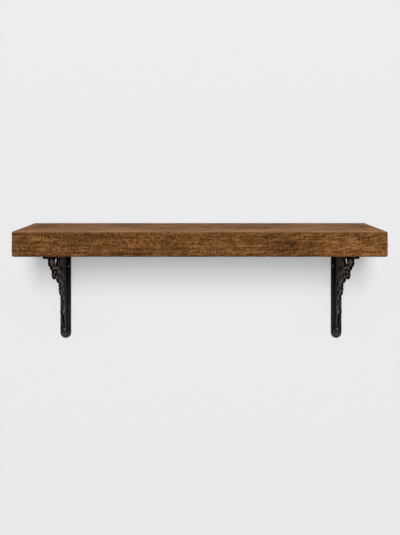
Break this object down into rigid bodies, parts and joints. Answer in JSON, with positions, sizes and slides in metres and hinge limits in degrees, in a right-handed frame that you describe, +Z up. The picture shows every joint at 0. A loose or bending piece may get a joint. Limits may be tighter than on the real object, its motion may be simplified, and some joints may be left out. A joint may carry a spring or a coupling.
{
  "type": "bracket wall shelf",
  "caption": "Thick dark-stained timber wall shelf carried on cast-iron acanthus-leaf brackets that screw to the wall and up into the board.",
  "frame": {"origin": "on the wall face, midway between the brackets, level with the upper wall screws", "axes": "+X along the board to the viewer's right, +Y into the wall, so the room is -Y, and +Z up"},
  "size_m": [0.914, 0.294, 0.316],
  "materials": {
    "shelf_timber": "dark-stained, waxed reclaimed timber with worn arrises",
    "bracket_iron": "blackened and waxed casting",
    "screw_steel": "black"
  },
  "bodies": {
    "root": {"shelf_board": "shelf_timber", "left_bracket": "bracket_iron", "right_bracket": "bracket_iron", "left_upper_inner_wall_screw": "screw_steel", "left_upper_outer_wall_screw": "screw_steel", "left_lower_wall_screw": "screw_steel", "left_inner_shelf_screw": "screw_steel", "left_outer_shelf_screw": "screw_steel", "right_upper_inner_wall_screw": "screw_steel", "right_upper_outer_wall_screw": "screw_steel", "right_lower_wall_screw": "screw_steel", "right_inner_shelf_screw": "screw_steel", "right_outer_shelf_screw": "screw_steel"}
  },
  "joints": []
}
